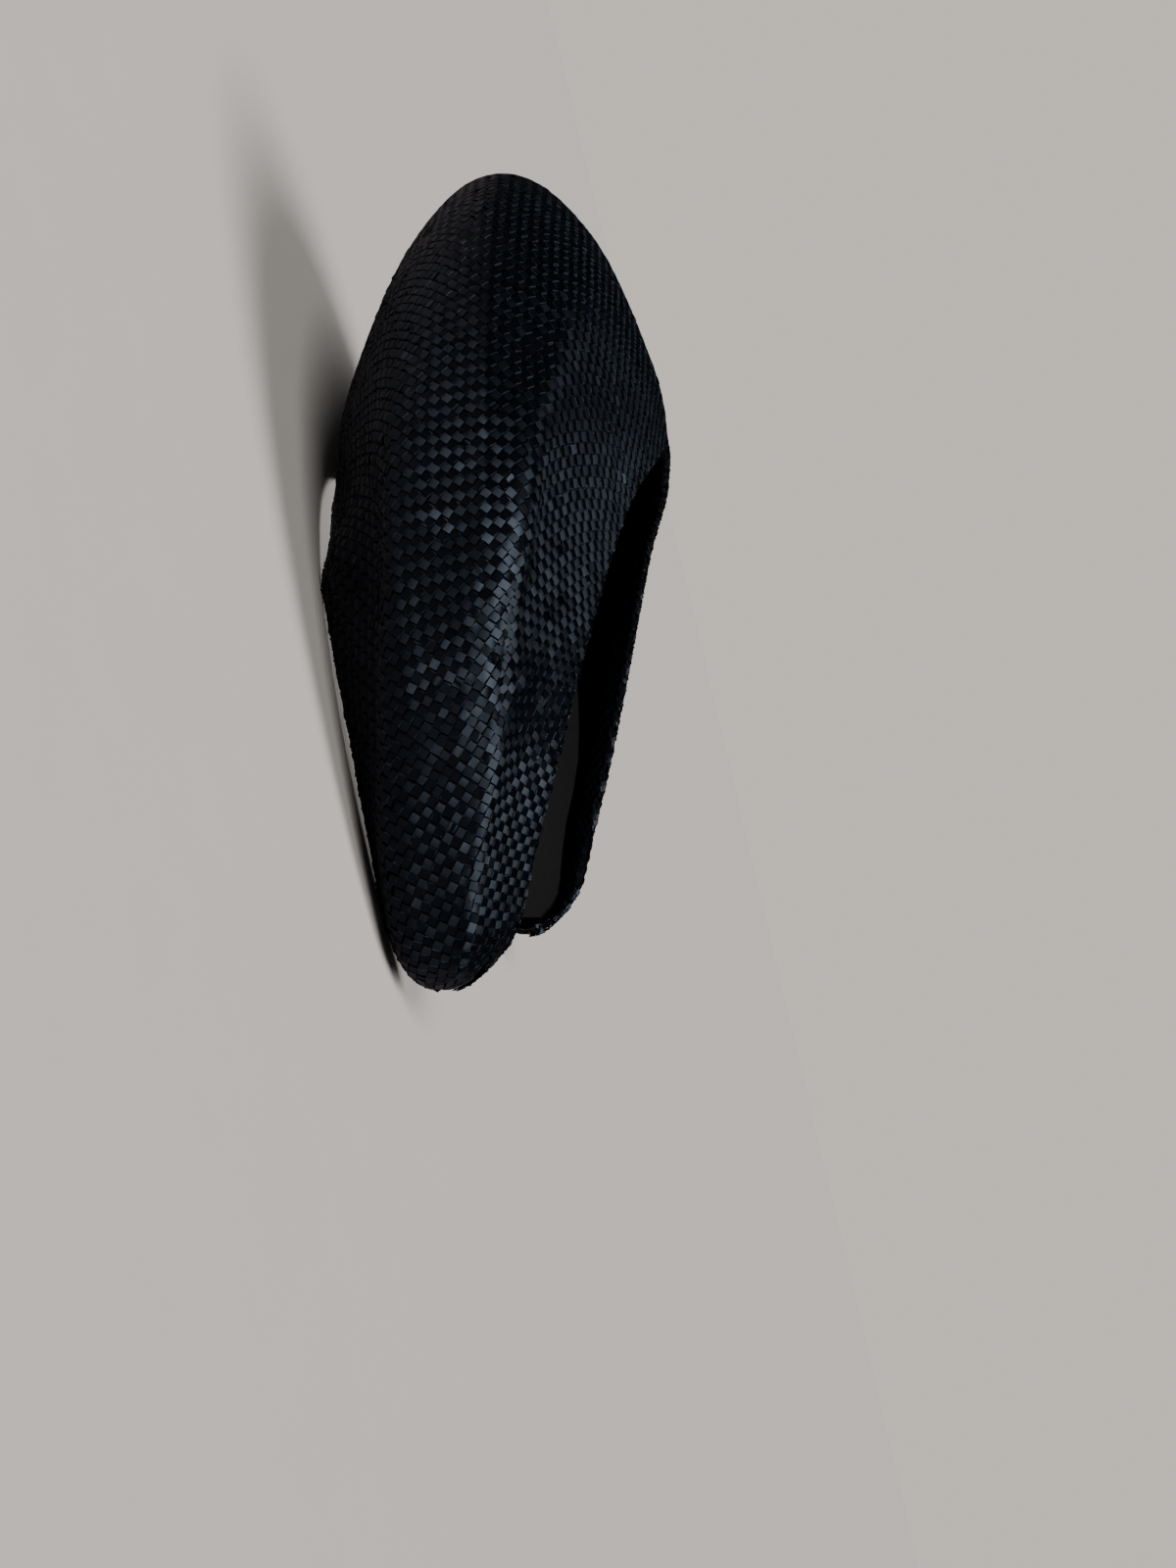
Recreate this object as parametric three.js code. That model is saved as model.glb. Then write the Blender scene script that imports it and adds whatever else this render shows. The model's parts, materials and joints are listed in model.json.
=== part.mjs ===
// Halo headpiece: a crescent of blocked, woven straw on a plain hidden head band.
// Millimetres. The tables are written as the piece is worn: x across the head, y to the
// back, z up from the tips. The finished group is then laid on its back rim, as it rests.
import * as THREE from "three";

// Driving sizes
const headHalfBreadth = 80;
const headRise = 82;
const headCentreHeight = 30;
const tipAngle = 111;
const tipRounding = 9.5;
const strawWall = 1.6;
const hemWall = 3;
const hemDepth = 8;
const seatGap = 0.3;

// One row for each section across the crescent. Angles run down each side from the top,
// widths and drops go from the head line to the two rims, height stands off the head.
const sectionColumns = ["angle", "front", "back", "frontDrop", "backDrop", "crest", "height", "crease"];
const sectionRows = [
  [0, 35.5, 34.5, 4, 10, -1, 52.5, 0],
  [20, 34.4, 31.2, 4, 9.5, -3.5, 47.5, 0.05],
  [40, 29.5, 28.5, 3.5, 8, -5, 36, 0.2],
  [60, 24.5, 25.5, 3, 5.5, -6, 26, 0.25],
  [80, 18.8, 19.5, 2, 3, -3.5, 18.5, 0.12],
  [95, 13.8, 15.2, 1, 1.5, 1, 15, 0],
  [111, 9, 11.5, 0, 0, 2.5, 12, 0],
];

// Where each side of a section turns, as shares of that side's width and height: the
// shoulder beside the crest, then the waist above the flare to the rim.
const sideColumns = ["angle", "shoulderOut", "shoulderUp", "waistOut", "waistUp"];
const frontSideRows = [
  [0, 0.53, 0.78, 0.905, 0.3],
  [20, 0.54, 0.79, 0.9, 0.32],
  [40, 0.5, 0.86, 0.8, 0.46],
  [60, 0.46, 0.92, 0.64, 0.52],
  [80, 0.46, 0.92, 0.64, 0.52],
  [95, 0.5, 0.92, 0.7, 0.52],
  [111, 0.5, 0.9, 0.8, 0.5],
];
const backSideRows = [
  [0, 0.52, 0.78, 0.905, 0.3],
  [20, 0.5, 0.8, 0.9, 0.32],
  [40, 0.5, 0.86, 0.76, 0.46],
  [60, 0.5, 0.92, 0.66, 0.5],
  [80, 0.58, 0.92, 0.76, 0.5],
  [95, 0.62, 0.92, 0.84, 0.5],
  [111, 0.6, 0.9, 0.85, 0.5],
];

// Dents and swells pressed into the straw. Side runs from -1 at the front rim to 1 at
// the back rim, and rise is outward, so a dent's is below zero.
const dentColumns = ["angle", "side", "rise", "angleReach", "sideReach"];
const dentRows = [
  [-41, -0.22, -1.6, 4.5, 0.12],
  [-62, -0.5, -1.1, 12, 0.1],
  [-54, 0.86, 2.2, 6, 0.2],
  [-75, 0.6, -0.8, 9, 0.1],
  [38, 0.3, -1.2, 7, 0.16],
  [64, -0.45, -1.2, 11, 0.1],
];

// Mesh fineness
const stationStep = 5;
const tipStations = 5;
const stepsPerSpan = 5;

// The hidden band, an arch under the straw that sits on the head
const bandWidth = 15;
const bandThickness = 2.5;
const bandClearOfHead = 0.4;
const bandEndClosure = 0.5;

const radians = THREE.MathUtils.degToRad;

// Smooth, monotone reading of a table's column between its rows
function tableReader(columns, rows) {
  const knots = rows.map((row) => row[0]);
  const steps = knots.slice(1).map((knot, i) => knot - knots[i]);
  const readers = {};
  columns.slice(1).forEach((name, index) => {
    const values = rows.map((row) => row[index + 1]);
    const rates = steps.map((step, i) => (values[i + 1] - values[i]) / step);
    const slopes = values.map((_, i) => {
      if (i === 0) return 0;
      if (i === values.length - 1) return rates[i - 1];
      const product = rates[i - 1] * rates[i];
      return product <= 0 ? 0 : (2 * product) / (rates[i - 1] + rates[i]);
    });
    readers[name] = (angle) => {
      let k = 0;
      while (k < steps.length - 1 && angle > knots[k + 1]) k += 1;
      const u = (angle - knots[k]) / steps[k];
      const ends = values[k] * (1 + 2 * u) * (1 - u) ** 2 + values[k + 1] * u * u * (3 - 2 * u);
      return ends + steps[k] * (slopes[k] * u * (1 - u) ** 2 + slopes[k + 1] * u * u * (u - 1));
    };
  });
  return readers;
}

const section = tableReader(sectionColumns, sectionRows);
const frontSide = tableReader(sideColumns, frontSideRows);
const backSide = tableReader(sideColumns, backSideRows);
const dents = dentRows.map((row) => Object.fromEntries(dentColumns.map((name, i) => [name, row[i]])));

// Head line at an angle down from the top, and the way out of the head there
function headLine(angle) {
  const turn = radians(angle);
  const outX = Math.sin(turn) / headHalfBreadth;
  const outZ = Math.cos(turn) / headRise;
  const length = Math.hypot(outX, outZ);
  return {
    x: headHalfBreadth * Math.sin(turn),
    z: headCentreHeight + headRise * Math.cos(turn),
    outX: outX / length,
    outZ: outZ / length,
  };
}

// Stations along the crescent, from one tip over the top to the other. Near a tip the
// section closes to a point, and the inner face closes short of the outer by one wall.
function makeStations() {
  const start = tipAngle - tipRounding;
  const before = headLine(tipAngle - 1);
  const after = headLine(tipAngle);
  const degreeLength = Math.hypot(before.x - after.x, before.z - after.z);
  const innerRounding = tipRounding - strawWall / degreeLength;
  const half = [];
  const count = Math.round(start / stationStep);
  for (let i = 0; i <= count; i += 1) {
    const angle = (start * i) / count;
    half.push({ angle, innerAngle: angle, closure: 1 });
  }
  for (let i = 1; i <= tipStations; i += 1) {
    const turn = ((Math.PI / 2) * i) / tipStations;
    const closure = i === tipStations ? 0 : Math.cos(turn);
    const past = Math.sin(turn);
    half.push({ angle: start + past * tipRounding, innerAngle: start + past * innerRounding, closure });
  }
  const mirrored = half.slice(1).reverse().map((station) => ({
    angle: -station.angle,
    innerAngle: -station.innerAngle,
    closure: station.closure,
  }));
  return [...mirrored, ...half];
}

// A point of one half section before the tip closes it: out toward the rim, up off the
// head. Three spans of a smooth curve pass from the crest over shoulder and waist.
function halfSection(angle, share, isFront) {
  const shape = isFront ? frontSide : backSide;
  const crest = section.crest(angle);
  const drop = isFront ? section.frontDrop(angle) : section.backDrop(angle);
  const width = isFront ? section.front(angle) + crest : section.back(angle) - crest;
  const rise = section.height(angle) + drop;
  const points = [
    new THREE.Vector2(0, rise),
    new THREE.Vector2(shape.shoulderOut(angle) * width, shape.shoulderUp(angle) * rise),
    new THREE.Vector2(shape.waistOut(angle) * width, shape.waistUp(angle) * rise),
    new THREE.Vector2(width, 0),
  ];
  const firstSpan = points[0].distanceTo(points[1]);
  const tangents = [
    new THREE.Vector2(firstSpan, -section.crease(angle) * firstSpan),
    points[2].clone().sub(points[0]).multiplyScalar(0.5),
    points[3].clone().sub(points[1]).multiplyScalar(0.5),
    points[3].clone().sub(points[2]),
  ];
  const span = Math.min(Math.floor(share * 3), 2);
  const u = share * 3 - span;
  const point = points[span].clone().multiplyScalar((1 + 2 * u) * (1 - u) ** 2);
  point.addScaledVector(tangents[span], u * (1 - u) ** 2);
  point.addScaledVector(points[span + 1], u * u * (3 - 2 * u));
  point.addScaledVector(tangents[span + 1], u * u * (u - 1));
  return point.setY(point.y - drop);
}

// Outward push of the dents and swells at a place on the straw
function dentRise(angle, side) {
  return dents.reduce((sum, dent) => {
    const along = (angle - dent.angle) / dent.angleReach;
    const across = (side - dent.side) / dent.sideReach;
    return sum + dent.rise * Math.exp(-along * along - across * across);
  }, 0);
}

// Wall thickness: the straw is turned under along both rims, which doubles it there
function wallAt(angle, side) {
  const crest = section.crest(angle);
  const width = side < 0 ? section.front(angle) + crest : section.back(angle) - crest;
  const fromRim = (1 - Math.abs(side)) * width;
  const folded = 1 - THREE.MathUtils.smoothstep(fromRim, hemDepth * 0.75, hemDepth * 1.25);
  return strawWall + (hemWall - strawWall) * folded;
}

// Place of the straw in a station's own section, on its outer or its inner face: x along
// the band of the head, y off the head
function strawPlace(station, side, isInner) {
  const angle = isInner ? station.innerAngle : station.angle;
  const depth = Math.abs(angle);
  const isFront = side < 0;
  const share = Math.abs(side);
  const nudge = 0.004;
  const at = halfSection(depth, share, isFront);
  const before = halfSection(depth, Math.max(share - nudge, 0), isFront);
  const after = halfSection(depth, Math.min(share + nudge, 1), isFront);
  const outward = share === 0
    ? new THREE.Vector2(0, 1)
    : new THREE.Vector2(before.y - after.y, after.x - before.x).normalize();
  at.addScaledVector(outward, dentRise(angle, side) - (isInner ? wallAt(depth, side) : 0));
  at.multiplyScalar(station.closure);
  return at.setX(section.crest(depth) + (isFront ? -at.x : at.x));
}

// A section place turned into a point of the worn piece
function wornPoint(angle, place) {
  const line = headLine(angle);
  return new THREE.Vector3(line.x + line.outX * place.y, place.x, line.z + line.outZ * place.y);
}

// Closed mesh from points and the triangles that share them
function closedGeometry(positions, triangles) {
  const geometry = new THREE.BufferGeometry();
  geometry.setAttribute("position", new THREE.Float32BufferAttribute(positions.flatMap((p) => p.toArray()), 3));
  geometry.setIndex(triangles.flat());
  geometry.computeVertexNormals();
  return geometry;
}

// The straw shell: outer face, inner face and the hem's edge between them
function haloShell() {
  const stations = makeStations();
  const last = stations.length - 1;
  const sideSteps = 6 * stepsPerSpan;
  const sides = Array.from({ length: sideSteps + 1 }, (_, j) => (2 * j) / sideSteps - 1);
  const positions = [];
  const triangles = [];
  const corner = [];
  [false, true].forEach((isInner) => {
    corner.push(stations.map((station, i) => {
      const atTip = i === 0 || i === last;
      const places = (atTip ? [0] : sides).map((side) => {
        const angle = isInner ? station.innerAngle : station.angle;
        positions.push(wornPoint(angle, strawPlace(station, side, isInner)));
        return positions.length - 1;
      });
      return sides.map((_, j) => (atTip ? places[0] : places[j]));
    }));
  });
  const addQuad = (a, b, c, d) => {
    if (a !== b && b !== c && c !== a) triangles.push([a, b, c]);
    if (a !== c && c !== d && d !== a) triangles.push([a, c, d]);
  };
  const [outer, inner] = corner;
  for (let i = 0; i < last; i += 1) {
    for (let j = 0; j < sideSteps; j += 1) {
      addQuad(outer[i][j], outer[i + 1][j], outer[i + 1][j + 1], outer[i][j + 1]);
      addQuad(inner[i][j], inner[i][j + 1], inner[i + 1][j + 1], inner[i + 1][j]);
    }
    addQuad(outer[i + 1][0], outer[i][0], inner[i][0], inner[i + 1][0]);
    addQuad(outer[i][sideSteps], outer[i + 1][sideSteps], inner[i + 1][sideSteps], inner[i][sideSteps]);
  }
  return closedGeometry(positions, triangles);
}

// How far the band may reach toward one rim at a station, clear of the straw's inside
function bandLimit(station, toRim) {
  const top = bandClearOfHead + bandThickness;
  const steps = 60;
  let share = 1;
  while (share > 0 && strawPlace(station, toRim * share, true).y < top + seatGap) share -= 1 / steps;
  return strawPlace(station, toRim * share, true).x - toRim * seatGap;
}

// The hidden band: an arch on the head line whose ends narrow into the tips. It has no
// station at the top, so one flat face lies there against the head.
function headBand() {
  const isBand = (station) => station.angle !== 0 && station.closure > bandEndClosure;
  const stations = makeStations().filter(isBand);
  const positions = [];
  const triangles = [];
  const ring = stations.map((station) => {
    const depth = Math.abs(station.innerAngle);
    const centre = section.crest(depth) * THREE.MathUtils.smoothstep(depth, 40, 95);
    const front = Math.max(centre - bandWidth / 2, bandLimit(station, -1));
    const back = Math.min(centre + bandWidth / 2, bandLimit(station, 1));
    const corners = [
      [front, bandClearOfHead],
      [back, bandClearOfHead],
      [back, bandClearOfHead + bandThickness],
      [front, bandClearOfHead + bandThickness],
    ];
    return corners.map(([y, up]) => {
      positions.push(wornPoint(station.innerAngle, new THREE.Vector2(y, up)));
      return positions.length - 1;
    });
  });
  for (let i = 0; i < ring.length - 1; i += 1) {
    for (let k = 0; k < 4; k += 1) {
      const next = (k + 1) % 4;
      triangles.push([ring[i][k], ring[i][next], ring[i + 1][next]]);
      triangles.push([ring[i][k], ring[i + 1][next], ring[i + 1][k]]);
    }
  }
  const first = ring[0];
  const end = ring[ring.length - 1];
  triangles.push([first[0], first[2], first[1]], [first[0], first[3], first[2]]);
  triangles.push([end[0], end[1], end[2]], [end[0], end[2], end[3]]);
  return closedGeometry(positions, triangles);
}

// Turn from the worn place to lying on the back rim: the steepest line that the tips
// and the back rim both touch from below
function restTurn(geometry) {
  const place = geometry.getAttribute("position");
  const back = [];
  for (let i = 0; i < place.count; i += 1) back.push([place.getY(i), place.getZ(i)]);
  const [rimY, rimZ] = back.reduce((best, point) => (point[0] > best[0] ? point : best));
  const lower = back.filter(([, z]) => z < headCentreHeight);
  return Math.min(...lower.map(([y, z]) => Math.atan2(rimY - y, rimZ - z)));
}

function strawMesh(name, geometry, colour, roughness) {
  const material = new THREE.MeshStandardMaterial({ color: colour, roughness, metalness: 0 });
  const mesh = new THREE.Mesh(geometry, material);
  mesh.name = name;
  return mesh;
}

const shellGeometry = haloShell();
const halo = new THREE.Group();
halo.add(strawMesh("halo_shell", shellGeometry, 0x0d1119, 0.4));
halo.add(strawMesh("head_band", headBand(), 0x101216, 0.8));

const lean = restTurn(shellGeometry);
halo.rotation.x = -(Math.PI / 2) + lean;
halo.updateMatrixWorld(true);
const bounds = new THREE.Box3().setFromObject(halo, true);
const middle = bounds.getCenter(new THREE.Vector3());
halo.position.set(-middle.x, -middle.y, -bounds.min.z);
halo.updateMatrixWorld(true);

export default halo;
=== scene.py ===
# Halo headpiece: blocked, plain-woven flat straw over a plain head band, lying on its back rim
import bpy
import json
import math
import numpy as np
from mathutils import Matrix, Vector, kdtree


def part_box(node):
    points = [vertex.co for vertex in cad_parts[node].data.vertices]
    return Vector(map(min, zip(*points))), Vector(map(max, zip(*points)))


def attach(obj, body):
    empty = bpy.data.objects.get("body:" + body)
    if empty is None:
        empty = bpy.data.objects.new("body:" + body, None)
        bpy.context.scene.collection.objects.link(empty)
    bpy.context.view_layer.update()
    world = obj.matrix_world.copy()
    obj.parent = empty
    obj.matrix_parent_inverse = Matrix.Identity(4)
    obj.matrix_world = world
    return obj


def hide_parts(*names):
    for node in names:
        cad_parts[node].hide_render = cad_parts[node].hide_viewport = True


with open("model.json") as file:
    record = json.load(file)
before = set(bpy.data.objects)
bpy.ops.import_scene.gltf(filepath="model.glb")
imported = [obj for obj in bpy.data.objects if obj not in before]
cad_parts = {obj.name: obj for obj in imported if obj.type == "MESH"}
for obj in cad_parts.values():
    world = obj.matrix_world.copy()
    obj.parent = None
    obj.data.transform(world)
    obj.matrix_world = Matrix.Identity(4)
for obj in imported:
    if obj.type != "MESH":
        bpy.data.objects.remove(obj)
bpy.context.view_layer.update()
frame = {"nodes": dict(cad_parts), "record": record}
rng = np.random.default_rng(11)
print("frame loaded")

# The block that the straw was shaped on. Worn frame: x across the head, y back, z up from
# the tips, in millimetres, with angles in degrees down each side from the top.
block = {
    "headHalfBreadth": 80.0,
    "headRise": 82.0,
    "headCentreHeight": 30.0,
    "tipAngle": 111.0,
    "tipRounding": 9.5,
    # angle, front, back, frontDrop, backDrop, crest, height, crease
    "sections": [
        [0, 35.5, 34.5, 4, 10, -1, 52.5, 0],
        [20, 34.4, 31.2, 4, 9.5, -3.5, 47.5, 0.05],
        [40, 29.5, 28.5, 3.5, 8, -5, 36, 0.2],
        [60, 24.5, 25.5, 3, 5.5, -6, 26, 0.25],
        [80, 18.8, 19.5, 2, 3, -3.5, 18.5, 0.12],
        [95, 13.8, 15.2, 1, 1.5, 1, 15, 0],
        [111, 9, 11.5, 0, 0, 2.5, 12, 0],
    ],
    # angle, shoulderOut, shoulderUp, waistOut, waistUp
    "frontSide": [
        [0, 0.53, 0.78, 0.905, 0.3],
        [20, 0.54, 0.79, 0.9, 0.32],
        [40, 0.5, 0.86, 0.8, 0.46],
        [60, 0.45, 0.92, 0.63, 0.52],
        [80, 0.42, 0.93, 0.62, 0.52],
        [95, 0.42, 0.93, 0.67, 0.54],
        [111, 0.36, 0.93, 0.72, 0.58],
    ],
    "backSide": [
        [0, 0.52, 0.78, 0.905, 0.3],
        [20, 0.5, 0.8, 0.9, 0.32],
        [40, 0.5, 0.86, 0.76, 0.46],
        [60, 0.5, 0.92, 0.66, 0.5],
        [80, 0.58, 0.92, 0.76, 0.5],
        [95, 0.62, 0.92, 0.84, 0.5],
        [111, 0.6, 0.9, 0.85, 0.5],
    ],
    # angle, side, rise, angleReach, sideReach
    "dents": [
        [-41, -0.22, -1.6, 4.5, 0.12],
        [-62, -0.5, -1.1, 12, 0.1],
        [-54, 0.86, 2.2, 6, 0.2],
        [-75, 0.6, -0.8, 9, 0.1],
        [-73, -0.34, -2.0, 7, 0.13],
        [38, 0.3, -1.2, 7, 0.16],
        [64, -0.45, -1.2, 11, 0.1],
    ],
}

grid = {
    "stations": 340,       # from one rounding to the other
    "tipStations": 18,     # within each rounded tip
    "lastClosure": 0.02,   # share of its size that the very last section keeps
    "sideSteps": 60,       # crest to rim
    "finePerStep": 4,      # readings of the girth in each of those
    "nudge": 0.004,        # share of the girth to either side that a normal is read from
    "hemSteps": 12,
    "hemTurn": 0.75,       # radius of the turned rim, mm
    "hemReach": 10.0,      # straw turned under past the rim, mm
}


# Smooth and monotone reading of a table's column between its rows
def readColumn(rows, column, angle):
    knots = np.array([row[0] for row in rows], float)
    values = np.array([row[column] for row in rows], float)
    steps = np.diff(knots)
    rates = np.diff(values) / steps
    slopes = np.zeros(len(values))
    slopes[-1] = rates[-1]
    for i in range(1, len(values) - 1):
        product = rates[i - 1] * rates[i]
        slopes[i] = 0 if product <= 0 else 2 * product / (rates[i - 1] + rates[i])
    k = np.clip(np.searchsorted(knots, angle, side="right") - 1, 0, len(steps) - 1)
    u = (angle - knots[k]) / steps[k]
    level = values[k] * (1 + 2 * u) * (1 - u) ** 2 + values[k + 1] * u * u * (3 - 2 * u)
    return level + steps[k] * (slopes[k] * u * (1 - u) ** 2 + slopes[k + 1] * u * u * (u - 1))


def sectionColumn(name, angle):
    names = ["angle", "front", "back", "frontDrop", "backDrop", "crest", "height", "crease"]
    return readColumn(block["sections"], names.index(name), angle)


# Place on the head, and the way out of it
def headLine(angle):
    turn = np.radians(angle)
    outX = np.sin(turn) / block["headHalfBreadth"]
    outZ = np.cos(turn) / block["headRise"]
    length = np.hypot(outX, outZ)
    x = block["headHalfBreadth"] * np.sin(turn)
    z = block["headCentreHeight"] + block["headRise"] * np.cos(turn)
    return x, z, outX / length, outZ / length


# One side's outline from crest to rim, out from the crest and up off the head, before closing
def halfSection(depth, share, toRim):
    crest = sectionColumn("crest", depth)
    if toRim < 0:
        side, drop = block["frontSide"], sectionColumn("frontDrop", depth)
        width = sectionColumn("front", depth) + crest
    else:
        side, drop = block["backSide"], sectionColumn("backDrop", depth)
        width = sectionColumn("back", depth) - crest
    rise = sectionColumn("height", depth) + drop
    size = np.stack([width, rise], -1)
    one = np.ones_like(depth)
    marks = [
        np.stack([0 * one, one], -1) * size,
        np.stack([readColumn(side, 1, depth), readColumn(side, 2, depth)], -1) * size,
        np.stack([readColumn(side, 3, depth), readColumn(side, 4, depth)], -1) * size,
        np.stack([one, 0 * one], -1) * size,
    ]
    firstSpan = np.linalg.norm(marks[1] - marks[0], axis=-1)
    tangents = [
        np.stack([firstSpan, -sectionColumn("crease", depth) * firstSpan], -1),
        (marks[2] - marks[0]) / 2,
        (marks[3] - marks[1]) / 2,
        marks[3] - marks[2],
    ]
    spans = len(marks) - 1
    span = np.clip(np.floor(share * spans).astype(int), 0, spans - 1)
    u = (share * spans - span)[..., None]
    span = span[..., None]
    start, end = np.choose(span, marks[:-1]), np.choose(span, marks[1:])
    leave, arrive = np.choose(span, tangents[:-1]), np.choose(span, tangents[1:])
    place = start * (1 + 2 * u) * (1 - u) ** 2 + leave * u * (1 - u) ** 2
    place = place + end * u * u * (3 - 2 * u) + arrive * u * u * (u - 1)
    place[..., 1] -= drop
    return place


def dentRise(angle, side):
    rise = 0 * angle * side
    for middle, across, height, angleReach, sideReach in block["dents"]:
        down, over = (angle - middle) / angleReach, (side - across) / sideReach
        rise = rise + height * np.exp(-down ** 2 - over ** 2)
    return rise


# Every station's angle, and the share of its size that its section keeps
def stationAngles():
    start = block["tipAngle"] - block["tipRounding"]
    body = np.linspace(-start, start, grid["stations"] + 1)
    turn = np.linspace(0, math.pi / 2, grid["tipStations"] + 1)[1:]
    past = start + np.sin(turn) * block["tipRounding"]
    closing = np.cos(turn)
    closing[-1] = grid["lastClosure"]
    angles = np.concatenate([-past[::-1], body, past])
    return angles, np.concatenate([closing[::-1], np.ones(len(body)), closing])


def unit(vectors):
    return vectors / np.maximum(np.linalg.norm(vectors, axis=-1, keepdims=True), 1e-9)


# Outer face of the straw as tables over station and girth
def buildSurface():
    angles, closure = stationAngles()
    depth = np.abs(angles)
    steps, nudge = grid["sideSteps"], grid["nudge"]
    fine = np.linspace(0, 1, grid["finePerStep"] * steps + 1)
    girth = np.linspace(0, 1, steps + 1)
    halves, lengths = {}, {}
    for toRim in (-1, 1):
        flat = halfSection(*np.broadcast_arrays(depth[:, None], fine[None, :]), toRim)
        run = np.cumsum(np.linalg.norm(np.diff(flat, axis=1), axis=-1), axis=1)
        run = np.concatenate([np.zeros((len(depth), 1)), run], axis=1)
        share = np.stack([np.interp(girth * row[-1], row, fine) for row in run])
        wide = np.broadcast_to(depth[:, None], share.shape)
        at = halfSection(wide, share, toRim)
        before = halfSection(wide, np.maximum(share - nudge, 0), toRim)
        after = halfSection(wide, np.minimum(share + nudge, 1), toRim)
        out = unit(np.stack([before[..., 1] - after[..., 1], after[..., 0] - before[..., 0]], -1))
        out[:, 0] = (0, 1)
        at = at + out * dentRise(angles[:, None], toRim * share)[..., None]
        at = at * closure[:, None, None]
        x, z, outX, outZ = [v[:, None] for v in headLine(angles)]
        y = sectionColumn("crest", depth)[:, None] + toRim * at[..., 0]
        halves[toRim] = np.stack([x + outX * at[..., 1], y, z + outZ * at[..., 1]], -1)
        lengths[toRim] = run[:, -1] * closure
    place = np.concatenate([halves[-1][:, ::-1], halves[1][:, 1:]], axis=1)
    along = np.gradient(place, axis=0)
    across = np.gradient(place, axis=1)
    normal = unit(np.cross(along, across))
    normal = normal * np.sign(normal[len(angles) // 2, steps, 2])
    return {"angles": angles, "closure": closure, "place": place, "normal": normal,
            "across": unit(across), "lengths": lengths}


surface = buildSurface()
print("straw surface", surface["place"].shape)


# From the worn frame to the way it lies: the band's seat faces the head, straight down as worn
seatAxis = frame["record"]["mounts"][0]["axis"]
wornUp = -np.array(seatAxis, float)
wornBack = np.cross(wornUp, (1, 0, 0))
turnToRest = np.stack([np.array([1.0, 0, 0]), wornBack, wornUp])
lowCorner = (surface["place"].reshape(-1, 3) / 1000 @ turnToRest).min(axis=0)
restShift = np.array(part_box("halo_shell")[0], float) - lowCorner


def toRest(points):
    return np.asarray(points) / 1000 @ turnToRest + restShift


def turnOnly(directions):
    return np.asarray(directions) @ turnToRest


camera = {
    "distance": 500.0,      # from the middle plane of the headpiece
    "yaw": 4.0,             # degrees toward the wearer's front
    "aimBack": -18.3,       # where it looks in the worn frame, mm
    "aimUp": 36.9,
    "lens": 54.0,
    "sensor": 36.0,
    "nearest": 0.01,        # closest thing that it sees, metres
}


def makeCamera():
    yaw, distance = math.radians(camera["yaw"]), camera["distance"]
    back = camera["aimBack"] - distance * math.sin(yaw)
    place = [-distance * math.cos(yaw), back, camera["aimUp"]]
    data = bpy.data.cameras.new("photoCamera")
    data.lens = camera["lens"]
    data.sensor_width = camera["sensor"]
    data.clip_start = camera["nearest"]
    obj = bpy.data.objects.new("photoCamera", data)
    bpy.context.collection.objects.link(obj)
    forward = turnOnly([math.cos(yaw), math.sin(yaw), 0])
    right = turnOnly([math.sin(yaw), -math.cos(yaw), 0])
    up = turnOnly([0, 0, 1])
    axes = Matrix((right, up, -forward)).transposed().to_4x4()
    obj.matrix_world = Matrix.Translation(Vector(toRest([place])[0])) @ axes
    bpy.context.scene.camera = obj


makeCamera()
print("camera placed")

straw = {
    "pitch": 1.83,          # between neighbouring strips, mm
    "width": 1.56,
    "lift": 0.15,           # a strip rides this far over and under, mm
    "dive": 4.1,            # how suddenly it goes from over to under
    "crown": 0.09,          # fall from a strip's middle to its edges, mm
    "openAngle": 38.0,      # half angle between the two sets of strips at the crest
    "openLimits": (31.0, 57.0),     # and how far it may close or open elsewhere
    # angle down each side, degrees that the whole net leans
    "leanRows": [[0, 0], [45, 0], [60, 5], [70, 12], [80, 18], [95, 25], [111, 28]],
    "widthSpread": 0.06,    # one strip against the next
    "floatSpread": 0.08,    # one float against the next, in width
    "wander": 0.045,        # sideways drift of a strip, in pitches
    "wanderEvery": 6,       # floats between turns of that drift
    "roll": 5.0,            # degrees that a float leans about its strip
    "pitchSpread": 1.8,     # and tips along it
    "toneSpread": 0.5,      # one strip against the next, where one float against the next is 1
    "twistShare": 0.012,    # floats that are twisted
    "twistRoll": 32.0,
    "twistWidth": 0.6,
    "liftSpread": 0.12,
    "setApart": 0.02,       # one set of strips above the other, mm
    "tipEnd": 0.12,         # no strip goes on where a section keeps less of its size
    "crossingSpan": 0.1,    # share of the wave about its crossing that is drawn as bent
    "fewestRows": 3,        # in one stretch of a strip
    "longestGap": 3,        # between two rows, in pitches
    "grainShift": 7.3,      # from one strip's grain to the next, mm
    "splitLine": 0,         # strips below this number are the wearer's right
}

# Samples are the rows of points along a float, in pitches from its middle
faceOuter = {
    "name": "straw",
    "samples": (-0.42, 0.0, 0.42, 0.5),
    "creases": (True, False, True, False),    # rows where the flat of a float ends
    "lanes": 3,             # points across a strip
    "depth": 0.0,           # below the straw's outer face, mm
    "flip": False,
}
faceInner = {
    "name": "straw_inside",
    "samples": (-0.3, 0.3),
    "creases": (True, True),
    "lanes": 2,
    "depth": 1.15,
    "flip": True,
}


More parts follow.
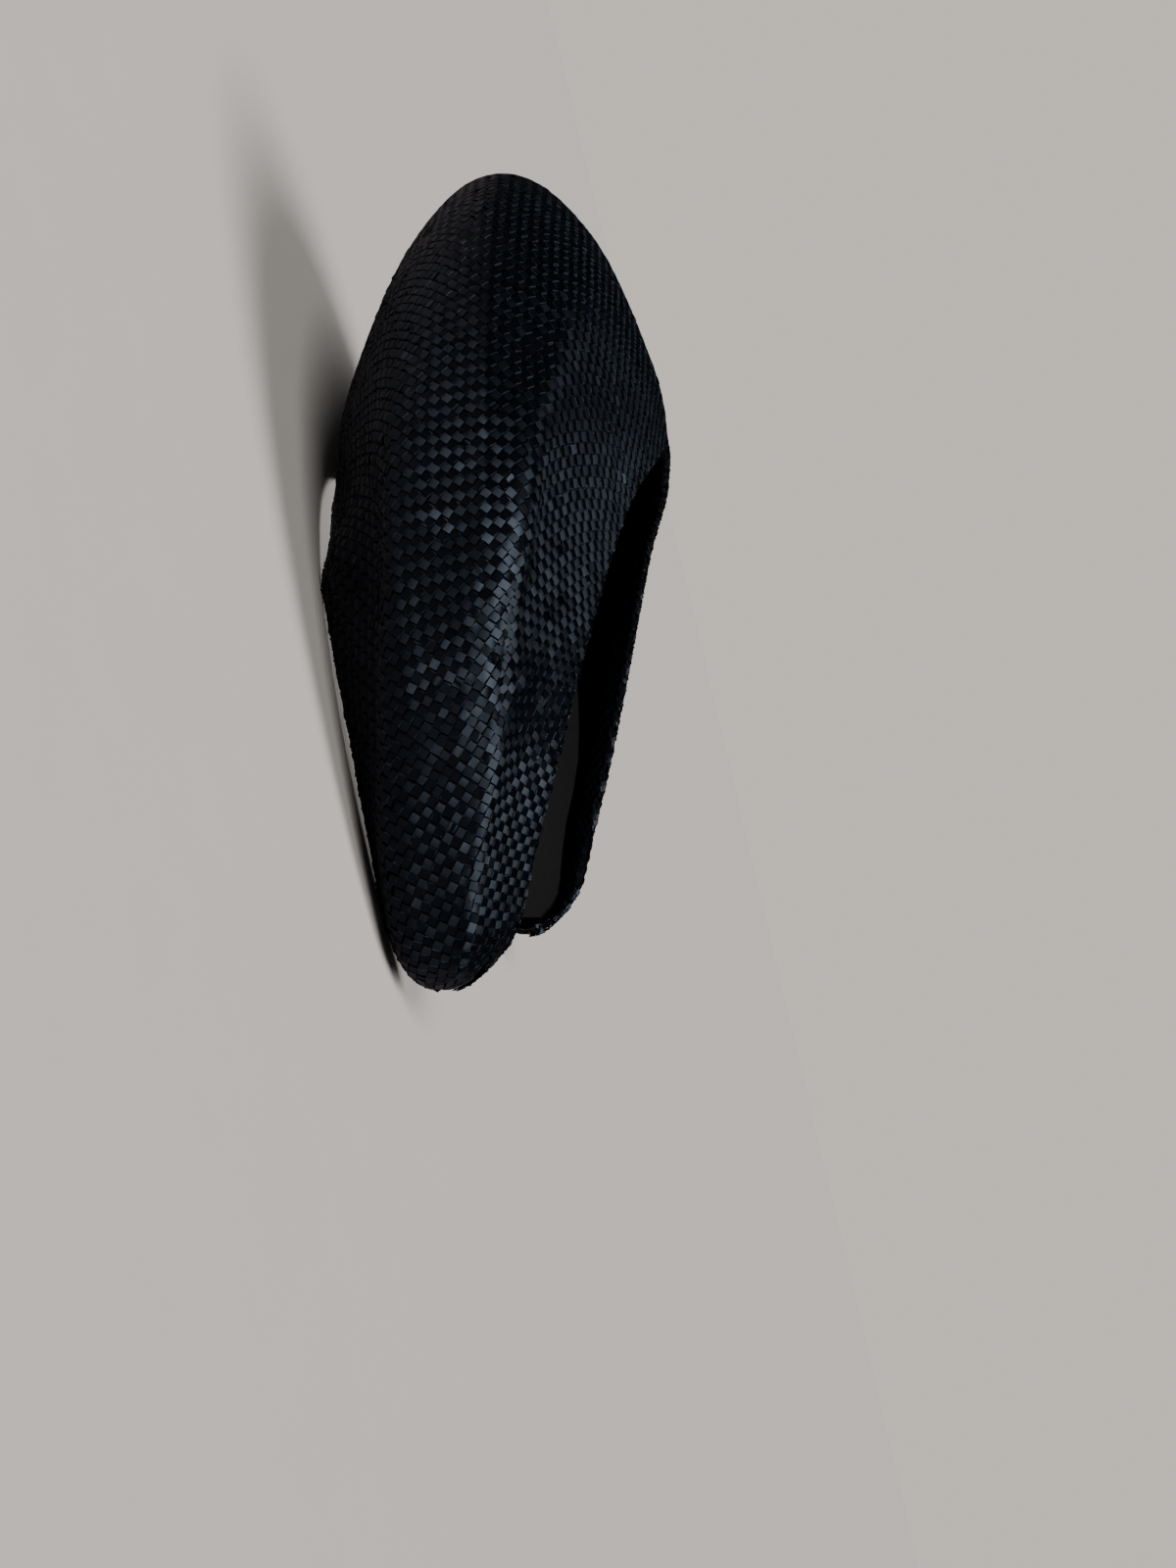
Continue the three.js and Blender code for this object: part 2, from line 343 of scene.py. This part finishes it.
# The net gives every place on the surface two numbers, f and g, which are whole along the
# strips of one set and of the other. This is how fast each one grows, for each millimetre.
def netRates(rowGap):
    angles, steps = surface["angles"], grid["sideSteps"]
    narrow, broad = [math.cos(math.radians(limit)) for limit in straw["openLimits"]]
    stretch = rowGap / np.maximum(rowGap[:, steps:steps + 1], 1e-6)
    cosine = math.cos(math.radians(straw["openAngle"])) * stretch
    opening = np.arccos(np.clip(cosine, broad, narrow))
    lean = np.radians(readColumn(straw["leanRows"], 1, np.abs(angles))) * -np.sign(angles)
    lean = np.broadcast_to(lean[:, None], opening.shape)
    cell = straw["pitch"] * np.sin(2 * opening)
    return {
        "f": (np.sin(opening - lean) / cell, np.cos(lean - opening) / cell),
        "g": (np.sin(opening + lean) / cell, -np.cos(opening + lean) / cell),
    }


# One of the two numbers over the surface, zero at the middle of the crest
def netTable(rowGap, alongRate, acrossRate):
    angles, steps = surface["angles"], grid["sideSteps"]
    toFront = -surface["lengths"][-1][:, None] * np.linspace(1, 0, steps + 1)[:-1]
    toBack = surface["lengths"][1][:, None] * np.linspace(0, 1, steps + 1)
    fromCrest = np.concatenate([toFront, toBack], axis=1)
    crestRun = alongRate[:, steps] * rowGap[:, steps]
    growth = (crestRun[1:] + crestRun[:-1]) / 2 * np.diff(angles)
    down = np.concatenate([[0], np.cumsum(growth)])
    down -= np.interp(0, angles, down)
    growth = (acrossRate[:, 1:] + acrossRate[:, :-1]) / 2 * np.diff(fromCrest, axis=1)
    sideways = np.concatenate([np.zeros((len(angles), 1)), np.cumsum(growth, axis=1)], axis=1)
    sideways -= sideways[:, steps:steps + 1]
    return down[:, None] + sideways


# Tables of the straw that is turned under along one rim, from the rim inward
def hemTables(tables, rates, edge, toRim):
    turn, reach, steps = grid["hemTurn"], grid["hemReach"], grid["hemSteps"]
    half, halfTurn = steps // 2, math.pi * turn
    runs = np.concatenate([np.linspace(0, halfTurn, half + 1)[1:],
                           np.linspace(halfTurn, reach, steps - half + 1)[1:]])
    taper, acrossWay = surface["closure"], surface["across"]
    alongWay = unit(np.cross(acrossWay, tables["normal"]))
    growth = np.gradient(tables["place"], axis=0)
    alongWay *= np.sign(np.sum(alongWay * growth, axis=-1, keepdims=True))
    rim, rimNormal = tables["place"][:, edge], tables["normal"][:, edge]
    outward = unit(np.cross(rimNormal, np.gradient(rim, axis=0)))
    agrees = np.sum(outward * acrossWay[:, edge], axis=-1, keepdims=True)
    outward *= np.sign(agrees * toRim + 1e-6)
    outAlong = np.sum(outward * alongWay[:, edge], axis=-1)
    outAcross = np.sum(outward * acrossWay[:, edge], axis=-1)
    hem = {"place": [], "normal": [], "f": [], "g": []}
    for run in runs:
        bend = min(run / turn, math.pi)
        back = max(run - halfTurn, 0) * taper[:, None]
        facing = rimNormal * math.cos(bend) + outward * math.sin(bend)
        hem["place"].append(rim + turn * taper[:, None] * (facing - rimNormal) - outward * back)
        hem["normal"].append(facing)
        for key, (alongRate, acrossRate) in rates.items():
            rate = alongRate[:, edge] * outAlong + acrossRate[:, edge] * outAcross
            hem[key].append(tables[key][:, edge] + run * taper * rate)
    return {key: np.stack(rows, axis=1) for key, rows in hem.items()}


# The surface with its rims turned under, and the net on it
def makeNet():
    place = surface["place"]
    rowRun = np.linalg.norm(np.cross(np.gradient(place, axis=0), surface["across"]), axis=-1)
    rowGap = rowRun / np.gradient(surface["angles"])[:, None]
    rates = netRates(rowGap)
    tables = {key: netTable(rowGap, *rates[key]) for key in rates}
    tables.update(place=place, normal=surface["normal"])
    front, back = hemTables(tables, rates, 0, -1), hemTables(tables, rates, -1, 1)
    return {key: np.concatenate([front[key][:, ::-1], tables[key], back[key]], axis=1)
            for key in tables}


net = makeNet()
for key in "fg":
    print("net", key, "spans", net[key].min().round(), "to", net[key].max().round())

solver = {
    "tableStep": 2,         # grid places between those that a search may start from
    "nearest": 1.5,         # how far off the start may be, in net numbers
    "rounds": 7,
    "longestStep": 6,       # grid places in one round
    "closeEnough": 0.04,    # in net numbers
    "leastArea": 1e-7,
}


# Bilinear reading of a table at grid places k, m
def readNet(key, k, m):
    table = net[key]
    k0 = np.clip(np.floor(k).astype(int), 0, table.shape[0] - 2)
    m0 = np.clip(np.floor(m).astype(int), 0, table.shape[1] - 2)
    u, v = k - k0, m - m0
    if table.ndim == 3:
        u, v = u[:, None], v[:, None]
    low = table[k0, m0] * (1 - v) + table[k0, m0 + 1] * v
    high = table[k0 + 1, m0] * (1 - v) + table[k0 + 1, m0 + 1] * v
    return low * (1 - u) + high * u


def netSlopes(key, k, m):
    table = net[key]
    k0 = np.clip(np.floor(k).astype(int), 0, table.shape[0] - 2)
    m0 = np.clip(np.floor(m).astype(int), 0, table.shape[1] - 2)
    u, v = k - k0, m - m0
    a, b = table[k0, m0], table[k0, m0 + 1]
    c, d = table[k0 + 1, m0], table[k0 + 1, m0 + 1]
    return (c - a) * (1 - v) + (d - b) * v, (b - a) * (1 - u) + (d - c) * u


# Finds the nearest grid place for any pair of net numbers
def makeFinder():
    rows, columns = net["f"].shape
    step = solver["tableStep"]
    tree = kdtree.KDTree(len(range(0, rows, step)) * len(range(0, columns, step)))
    places = []
    for k in range(0, rows, step):
        for m in range(0, columns, step):
            tree.insert((net["f"][k, m], net["g"][k, m], 0), len(places))
            places.append((k, m))
    tree.balance()
    return tree, np.array(places, float)


finder, finderPlaces = makeFinder()


# Grid places of net points, and which of them exist
def solveNet(f, g):
    found = [finder.find((a, b, 0)) for a, b in zip(f, g)]
    near = np.array([item[2] for item in found]) < solver["nearest"]
    start = finderPlaces[[item[1] for item in found]]
    k, m = start[:, 0].copy(), start[:, 1].copy()
    rows, columns = net["f"].shape
    least, longest = solver["leastArea"], solver["longestStep"]
    for _ in range(solver["rounds"]):
        df, dg = f - readNet("f", k, m), g - readNet("g", k, m)
        fk1, fm1 = netSlopes("f", k, m)
        gk1, gm1 = netSlopes("g", k, m)
        area = fk1 * gm1 - fm1 * gk1
        area = np.where(np.abs(area) < least, least, area)
        stepK = np.clip((df * gm1 - dg * fm1) / area, -longest, longest)
        stepM = np.clip((dg * fk1 - df * gk1) / area, -longest, longest)
        k = np.clip(k + stepK, 0, rows - 1)
        m = np.clip(m + stepM, 0, columns - 1)
    miss = np.hypot(f - readNet("f", k, m), g - readNet("g", k, m))
    return k, m, near & (miss < solver["closeEnough"])


# Slow sideways drift of the strips, one row for each
def wanderOf(count, length):
    knots = np.arange(0, length + straw["wanderEvery"], straw["wanderEvery"])
    turns = rng.normal(0, straw["wander"], (count, len(knots)))
    beats = np.arange(length)
    return np.stack([np.interp(beats, knots, row) for row in turns])


# Grid places along every strip of one set
def stripRuns(ownSet, samples):
    own, other = ("f", "g") if ownSet == 0 else ("g", "f")
    lines = np.arange(math.ceil(net[own].min()), math.floor(net[own].max()) + 1)
    beats = np.arange(math.floor(net[other].min()), math.ceil(net[other].max()) + 1)
    along = (beats[:, None] + np.array(samples)[None, :]).ravel()
    beatOf = np.repeat(np.arange(len(beats)), len(samples))
    drift = wanderOf(len(lines), len(beats))[:, beatOf]
    ownGrid, alongGrid = np.meshgrid(lines, along, indexing="ij")
    ownGrid = ownGrid + drift
    pair = [ownGrid.ravel(), alongGrid.ravel()]
    k, m, good = solveNet(*(pair if ownSet == 0 else pair[::-1]))
    closure = surface["closure"]
    good &= np.interp(k, np.arange(len(closure)), closure) > straw["tipEnd"]
    return lines, along, beatOf, [values.reshape(ownGrid.shape) for values in (k, m, good)]


# Tone, width, roll, lift and tip of the floats along one strip
def floatDraws(count):
    tone = rng.normal(0, 1, count)
    width = 1 + rng.normal(0, straw["floatSpread"], count)
    roll = np.radians(rng.normal(0, straw["roll"], count))
    lift = 1 + rng.normal(0, straw["liftSpread"], count)
    tip = np.tan(np.radians(rng.normal(0, straw["pitchSpread"], count))) * straw["pitch"]
    twisted = rng.random(count) < straw["twistShare"]
    turn = np.radians(straw["twistRoll"]) * np.sign(rng.normal(0, 1, count))
    roll = np.where(twisted, turn, roll)
    width = np.where(twisted, straw["twistWidth"], width)
    return tone, width, roll, lift, tip


# Strips of one set on one face, the wearer's right half and then the left
def weave(ownSet, face):
    lines, along, beatOf, (k, m, good) = stripRuns(ownSet, face["samples"])
    place = readNet("place", k.ravel(), m.ravel()).reshape(*k.shape, 3)
    normal = unit(readNet("normal", k.ravel(), m.ravel())).reshape(*k.shape, 3)
    place = place - normal * face["depth"]
    phase = np.cos(math.pi * along)      # one at the middle of every other float
    wave = np.sign(phase) * np.minimum(np.abs(phase) * straw["dive"], 1)
    crossing = np.abs(phase) < straw["crossingSpan"]
    offMiddle = np.where(crossing, 0, along - np.round(along))
    creased = np.tile(face["creases"], len(along) // len(face["creases"]))
    lanes = np.linspace(-0.5, 0.5, face["lanes"])
    sag = straw["crown"] * (2 * lanes) ** 2
    keys = ("verts", "faces", "uvs", "tones", "sharp")
    halves = [dict({key: [] for key in keys}, count=0) for _ in range(2)]
    for row, line in enumerate(lines):
        half = halves[0] if line < straw["splitLine"] else halves[1]
        stripTone = rng.normal(0, straw["toneSpread"])
        stripWidth = straw["width"] * (1 + rng.normal(0, straw["widthSpread"]))
        draws = []
        for values in floatDraws(beatOf[-1] + 2):
            between = (values[beatOf] + values[beatOf + 1]) / 2
            draws.append(np.where(crossing, between, values[beatOf]))
        tone, width, roll, liftScale, tip = draws
        over = 1 if (line % 2 == 0) == (ownSet == 0) else -1
        found = np.flatnonzero(good[row])
        runs = np.split(found, np.flatnonzero(np.diff(found) > 1) + 1) if len(found) else []
        for run in runs:
            if len(run) < straw["fewestRows"]:
                continue
            p, n = place[row, run], normal[row, run]
            gaps = np.linalg.norm(np.diff(p, axis=0), axis=-1)
            if gaps.max() > straw["longestGap"] * straw["pitch"]:
                continue
            way = unit(np.gradient(p, axis=0))
            across = unit(np.cross(n, way))
            lift = straw["lift"] * wave[run] * over * liftScale[run]
            lift = lift + straw["setApart"] * ownSet + tip[run] * offMiddle[run]
            mid = p + n * lift[:, None]
            lean = across * np.cos(roll[run])[:, None] + n * np.sin(roll[run])[:, None]
            reach = lanes[None, :, None] * (stripWidth * width[run])[:, None, None]
            ring = mid[:, None] + lean[:, None] * reach - n[:, None] * sag[None, :, None]
            half["verts"].append(ring.reshape(-1, 3))
            steps = np.arange(len(run) - 1)
            for lane in range(len(lanes) - 1):
                a = half["count"] + steps * len(lanes) + lane
                quad = [a, a + len(lanes), a + len(lanes) + 1, a + 1]
                half["faces"].append(np.stack(quad[::-1] if face["flip"] else quad, axis=1))
            length = np.concatenate([[0], np.cumsum(gaps)]) + line * straw["grainShift"]
            uvRows = [np.tile(lanes + 0.5, len(run)), np.repeat(length, len(lanes))]
            half["uvs"].append(np.stack(uvRows, axis=1))
            # Dives take the mark, which paints them in the darkest dye: painted shade where a
            # strip goes under
            shade = np.where(crossing[run], strawFinish["bentShadeTone"], stripTone + tone[run])
            half["tones"].append(np.repeat(shade, len(lanes)))
            ends = half["count"] + np.flatnonzero(creased[run]) * len(lanes)
            for lane in range(len(lanes) - 1):
                half["sharp"].append(np.stack([ends + lane, ends + lane + 1], axis=1))
            half["count"] += len(run) * len(lanes)
    return [[np.concatenate(half[key]) for key in keys] for half in halves]


def makeMesh(name, verts, faces, material, uvs=None, tones=None, sharp=None):
    mesh = bpy.data.meshes.new(name)
    mesh.vertices.add(len(verts))
    mesh.vertices.foreach_set("co", np.asarray(verts, np.float32).ravel())
    flat = np.concatenate(faces)
    starts = np.cumsum([0] + [len(face) for face in faces])[:-1]
    mesh.loops.add(len(flat))
    mesh.loops.foreach_set("vertex_index", flat.astype(np.int32))
    mesh.polygons.add(len(starts))
    mesh.polygons.foreach_set("loop_start", starts.astype(np.int32))
    mesh.update(calc_edges=True)
    mesh.validate()
    if uvs is not None:
        layer = mesh.uv_layers.new(name="stripUv")
        layer.data.foreach_set("uv", np.asarray(uvs, np.float32)[flat].ravel())
    if tones is not None:
        toneLayer = mesh.attributes.new("strawToneAndShade", "FLOAT", "POINT")
        toneLayer.data.foreach_set("value", np.asarray(tones, np.float32))
    mesh.polygons.foreach_set("use_smooth", np.ones(len(starts), bool))
    if sharp is not None:
        ends = np.empty(len(mesh.edges) * 2, np.int64)
        mesh.edges.foreach_get("vertices", ends)
        ends = np.sort(ends.reshape(-1, 2), axis=1)
        keys, wanted = ends @ (len(verts), 1), sharp @ (len(verts), 1)
        mesh.edges.foreach_set("use_edge_sharp", np.isin(keys, wanted))
    mesh.materials.append(material)
    obj = bpy.data.objects.new(name, mesh)
    bpy.context.collection.objects.link(obj)
    return obj


def newMaterial(name):
    material = bpy.data.materials.new(name)
    material.use_nodes = True
    nodes = material.node_tree.nodes
    return material, nodes, material.node_tree.links, nodes["Principled BSDF"]


strawFinish = {
    "dark": (0.0004, 0.0005, 0.0011, 1),
    "light": (0.0014, 0.0019, 0.0038, 1),
    "faded": (0.0026, 0.0026, 0.0036, 1),
    "fadeScale": 55.0,      # patches of weaker dye, per metre
    "fadeShare": 0.35,
    "fadeSpan": (0.5, 0.75),
    "toneReach": 2.2,       # tones from dark to light, either side of zero
    "roughness": 0.36,
    "roughSpread": 0.04,
    "bentRoughness": 0.64,  # added where a strip dives under the next
    "bentShadeTone": -8.0,       # the tone that marks such a place, and paints it in the darkest dye as painted shade
    "bentBlend": 0.5,       # tones between that and the darkest flat float's
    "anisotropic": 0.95,
    "specular": 0.42,
    "sheenColour": (0.68, 0.82, 1.0, 1),
    "ior": 1.5,
    "grainAcross": 8.0,     # fine lines of one strip, per strip width
    "grainAlong": 0.6,      # and per millimetre of its length
    "grainDepth": 0.00003,
    "grainStrength": 0.35,
    "grainDetail": 4,
    "grainFade": 0.65,
}

noise = {
    "span": (0.3, 0.7),     # the part of its range that noise mostly keeps to
    "broadDetail": 3,
    "fineDetail": 4,
    "broadShare": 8,        # times larger than the fine grain
    "roughSpread": 0.06,
    "strength": 0.4,
}


def mapRange(nodes, links, source, fromLow, fromHigh, toLow, toHigh):
    node = nodes.new("ShaderNodeMapRange")
    node.inputs["From Min"].default_value = fromLow
    node.inputs["From Max"].default_value = fromHigh
    node.inputs["To Min"].default_value = toLow
    node.inputs["To Max"].default_value = toHigh
    links.new(source, node.inputs["Value"])
    return node.outputs["Result"]


def noiseNode(nodes, links, vector, scale, detail, roughness=0.55):
    node = nodes.new("ShaderNodeTexNoise")
    node.inputs["Scale"].default_value = scale
    node.inputs["Detail"].default_value = detail
    node.inputs["Roughness"].default_value = roughness
    links.new(vector, node.inputs["Vector"])
    return node.outputs["Fac"]


def mixColours(nodes, links, share, low, high):
    node = nodes.new("ShaderNodeMix")
    node.data_type = "RGBA"
    links.new(share, node.inputs["Factor"])
    for value, socket in ((low, node.inputs[6]), (high, node.inputs[7])):
        if isinstance(value, tuple):
            socket.default_value = value
        else:
            links.new(value, socket)
    return node.outputs[2]


def bumpNode(nodes, links, height, strength, distance):
    node = nodes.new("ShaderNodeBump")
    node.inputs["Strength"].default_value = strength
    node.inputs["Distance"].default_value = distance
    links.new(height, node.inputs["Height"])
    return node.outputs["Normal"]


def addNodes(nodes, links, first, second):
    node = nodes.new("ShaderNodeMath")
    node.operation = "ADD"
    links.new(first, node.inputs[0])
    links.new(second, node.inputs[1])
    return node.outputs["Value"]


# Dyed, polished fibre, whose highlight spreads across a strip and stays narrow along it, with
# painted shade where strips dive under
def strawMaterial(name, finish):
    material, nodes, links, shader = newMaterial(name)
    tone = nodes.new("ShaderNodeAttribute")
    tone.attribute_name = "strawToneAndShade"
    reach = finish["toneReach"]
    # The dives' mark lies below the tone range and clamps to the darkest dye, a painted shade
    share = mapRange(nodes, links, tone.outputs["Fac"], -reach, reach, 0, 1)
    dyed = mixColours(nodes, links, share, finish["dark"], finish["light"])
    place = nodes.new("ShaderNodeTexCoord")
    patches = noiseNode(nodes, links, place.outputs["Object"], finish["fadeScale"],
                        noise["broadDetail"])
    fade = mapRange(nodes, links, patches, *finish["fadeSpan"], 0, finish["fadeShare"])
    colour = mixColours(nodes, links, fade, dyed, finish["faded"])
    links.new(colour, shader.inputs["Base Color"])
    uv = nodes.new("ShaderNodeUVMap")
    uv.uv_map = "stripUv"
    stretch = nodes.new("ShaderNodeMapping")
    stretch.inputs["Scale"].default_value = (finish["grainAcross"], finish["grainAlong"], 1)
    links.new(uv.outputs["UV"], stretch.inputs["Vector"])
    grain = noiseNode(nodes, links, stretch.outputs["Vector"], 1, finish["grainDetail"],
                      finish["grainFade"])
    bump = bumpNode(nodes, links, grain, finish["grainStrength"], finish["grainDepth"])
    links.new(bump, shader.inputs["Normal"])
    base, spread = finish["roughness"], finish["roughSpread"]
    byTone = mapRange(nodes, links, tone.outputs["Fac"], -reach, reach, spread, -spread)
    byGrain = mapRange(nodes, links, grain, *noise["span"], base - spread / 2, base + spread / 2)
    byBend = mapRange(nodes, links, tone.outputs["Fac"], -reach - finish["bentBlend"], -reach,
                      finish["bentRoughness"], 0)
    flatRoughness = addNodes(nodes, links, byTone, byGrain)
    links.new(addNodes(nodes, links, flatRoughness, byBend), shader.inputs["Roughness"])
    shader.inputs["Anisotropic"].default_value = finish["anisotropic"]
    shader.inputs["Specular IOR Level"].default_value = finish["specular"]
    shader.inputs["Specular Tint"].default_value = finish["sheenColour"]
    shader.inputs["IOR"].default_value = finish["ior"]
    tangent = nodes.new("ShaderNodeTangent")
    tangent.direction_type = "UV_MAP"
    tangent.uv_map = "stripUv"
    links.new(tangent.outputs["Tangent"], shader.inputs["Tangent"])
    return material


# Mottled, finely pitted surface
def grainyMaterial(name, look):
    material, nodes, links, shader = newMaterial(name)
    place = nodes.new("ShaderNodeTexCoord").outputs["Object"]
    scale = look["grainScale"]
    broad = noiseNode(nodes, links, place, scale / noise["broadShare"], noise["broadDetail"])
    fine = noiseNode(nodes, links, place, scale, noise["fineDetail"])
    colour = mixColours(nodes, links, broad, look["dark"], look["light"])
    links.new(colour, shader.inputs["Base Color"])
    base, spread = look["roughness"], noise["roughSpread"]
    roughness = mapRange(nodes, links, fine, *noise["span"], base - spread, base + spread)
    links.new(roughness, shader.inputs["Roughness"])
    bump = bumpNode(nodes, links, fine, noise["strength"], look["grainDepth"])
    links.new(bump, shader.inputs["Normal"])
    return material


def dress(obj, node):
    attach(obj, "root")
    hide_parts(node)


strawLook = strawMaterial("dyedStraw", strawFinish)
for face in (faceOuter, faceInner):
    for ownSet, setName in ((0, "forward"), (1, "backward")):
        for side, half in zip(("right", "left"), weave(ownSet, face)):
            verts, faces, uvs, tones, sharp = half
            name = "_".join((face["name"], setName, side))
            strips = makeMesh(name, toRest(verts), faces, strawLook, uvs, tones, sharp)
            dress(strips, "halo_shell")
            print("strips", strips.name, len(faces) * 2, "triangles")

backing = {
    "outerDepth": 0.5,      # of its two faces below the straw's outer one, mm
    "innerDepth": 0.8,
    "stationStep": 3,       # grid places between its rows
    "sideStep": 3,
    "dark": (0.0003, 0.0003, 0.0005, 1),
    "light": (0.0010, 0.0011, 0.0016, 1),
    "roughness": 0.7,
    "grainScale": 1500.0,
    "grainDepth": 0.00004,
}


# The close layer behind the strips, with its rims joined
def makeBacking():
    last = len(surface["angles"]) - 1
    stations = list(range(0, last, backing["stationStep"])) + [last]
    columns = list(range(0, surface["place"].shape[1], backing["sideStep"]))
    place = surface["place"][np.ix_(stations, columns)]
    normal = surface["normal"][np.ix_(stations, columns)]
    outer = place - normal * backing["outerDepth"]
    inner = place - normal * backing["innerDepth"]
    rows, wide = outer.shape[:2]
    verts = np.concatenate([outer.reshape(-1, 3), inner.reshape(-1, 3)])
    faces = []
    shift = rows * wide
    for i in range(rows - 1):
        for j in range(wide - 1):
            a, d = i * wide + j, (i + 1) * wide + j
            b, c = a + 1, d + 1
            faces.append((a, d, c, b))
            faces.append((a + shift, b + shift, c + shift, d + shift))
        for j, flip in ((0, False), (wide - 1, True)):
            a, b = i * wide + j, (i + 1) * wide + j
            ring = (a, a + shift, b + shift, b)
            faces.append(ring[::-1] if flip else ring)
    for j in range(wide - 1):
        a, b = j, j + 1
        faces.append((a, b, b + shift, a + shift))
        a, b = a + (rows - 1) * wide, b + (rows - 1) * wide
        faces.append((b, a, a + shift, b + shift))
    return verts, faces


backVerts, backFaces = makeBacking()
backingLook = grainyMaterial("sizedStraw", backing)
backingPiece = makeMesh("straw_backing", toRest(backVerts), backFaces, backingLook)
dress(backingPiece, "halo_shell")
print("backing made")

band = {
    "dark": (0.0010, 0.0010, 0.0014, 1),
    "light": (0.0022, 0.0022, 0.0028, 1),
    "roughness": 0.85,
    "grainScale": 2400.0,
    "grainDepth": 0.00003,
}
bandMaterials = frame["nodes"]["head_band"].data.materials
bandMaterials.clear()
bandMaterials.append(grainyMaterial("bandPlastic", band))
print("band finished")

floorLook = {
    "rings": (0.4, 1.2, 3.5, 9.0),            # metres out from its middle
    "turns": 64,
    "dark": (0.855, 0.765, 0.685, 1),
    "light": (0.87, 0.78, 0.70, 1),
    "reflected": (0.24, 0.20, 0.20, 1),
    "roughness": 0.85,
    "grainScale": 60.0,
    "grainDepth": 0.0001,
}
studio = {
    "backdrop": (0.716, 0.665, 0.607, 1),     # what shows past the floor
    "surround": (0.80, 0.88, 1.0, 1),         # what lights and reflects, dimmer
    "surroundStrength": 0.03,
    "lightColour": (0.94, 0.97, 1.0),
    # degrees off the camera's line, degrees round it from the picture's right, spread, W/m2
    "lights": {
        "softboxAbove": (37.5, 33, 24, 1.7),
        "softboxNear": (5, 100, 8, 0.55),
        "softboxOver": (78, -12, 40, 2.0),
    },
}


# The pale floor hardly shows in the glossy straw
def dimWhenReflected(material):
    nodes, links = material.node_tree.nodes, material.node_tree.links
    path, mix = nodes.new("ShaderNodeLightPath"), nodes.new("ShaderNodeMixShader")
    dim = nodes.new("ShaderNodeBsdfDiffuse")
    dim.inputs["Color"].default_value = floorLook["reflected"]
    links.new(path.outputs["Is Glossy Ray"], mix.inputs[0])
    links.new(nodes["Principled BSDF"].outputs[0], mix.inputs[1])
    links.new(dim.outputs[0], mix.inputs[2])
    links.new(mix.outputs[0], nodes["Material Output"].inputs["Surface"])


def makeFloor():
    turns, rings = floorLook["turns"], floorLook["rings"]
    verts, faces = [(0, 0, 0)], []
    for out in rings:
        for turn in np.linspace(0, 2 * math.pi, turns, endpoint=False):
            verts.append((out * math.cos(turn), out * math.sin(turn), 0))
    for step in range(turns):
        nextStep = (step + 1) % turns
        faces.append((0, 1 + step, 1 + nextStep))
        for ring in range(len(rings) - 1):
            a, b = 1 + ring * turns + step, 1 + ring * turns + nextStep
            faces.append((a, a + turns, b + turns, b))
    material = grainyMaterial("paleFloor", floorLook)
    dimWhenReflected(material)
    floor = makeMesh("floor", verts, faces, material)


# Far off and broad, so that the floor is lit evenly
def addLight(name, towards, spread, power):
    data = bpy.data.lights.new(name, "SUN")
    data.angle = math.radians(spread)
    data.energy = power
    data.color = studio["lightColour"]
    obj = bpy.data.objects.new(name, data)
    bpy.context.collection.objects.link(obj)
    obj.rotation_euler = Vector(turnOnly(towards)).to_track_quat("Z", "Y").to_euler()


# Pale behind everything, dim as a source of light
def makeWorld():
    world = bpy.context.scene.world or bpy.data.worlds.new("studio")
    bpy.context.scene.world = world
    world.use_nodes = True
    nodes, links = world.node_tree.nodes, world.node_tree.links
    nodes.clear()
    output = nodes.new("ShaderNodeOutputWorld")
    mix = nodes.new("ShaderNodeMixShader")
    path = nodes.new("ShaderNodeLightPath")
    dim, pale = nodes.new("ShaderNodeBackground"), nodes.new("ShaderNodeBackground")
    dim.name = "surround"
    dim.inputs["Color"].default_value = studio["surround"]
    dim.inputs["Strength"].default_value = studio["surroundStrength"]
    pale.inputs["Color"].default_value = studio["backdrop"]
    links.new(path.outputs["Is Camera Ray"], mix.inputs[0])
    links.new(dim.outputs[0], mix.inputs[1])
    links.new(pale.outputs[0], mix.inputs[2])
    links.new(mix.outputs[0], output.inputs["Surface"])


def makeLights():
    for name, (tilt, turn, spread, power) in studio["lights"].items():
        tilt, turn = math.radians(tilt), math.radians(turn)
        sideways = math.sin(tilt)
        towards = (-math.cos(tilt), -sideways * math.cos(turn), sideways * math.sin(turn))
        addLight(name, towards, spread, power)


makeWorld()
makeFloor()
makeLights()
print("studio made")
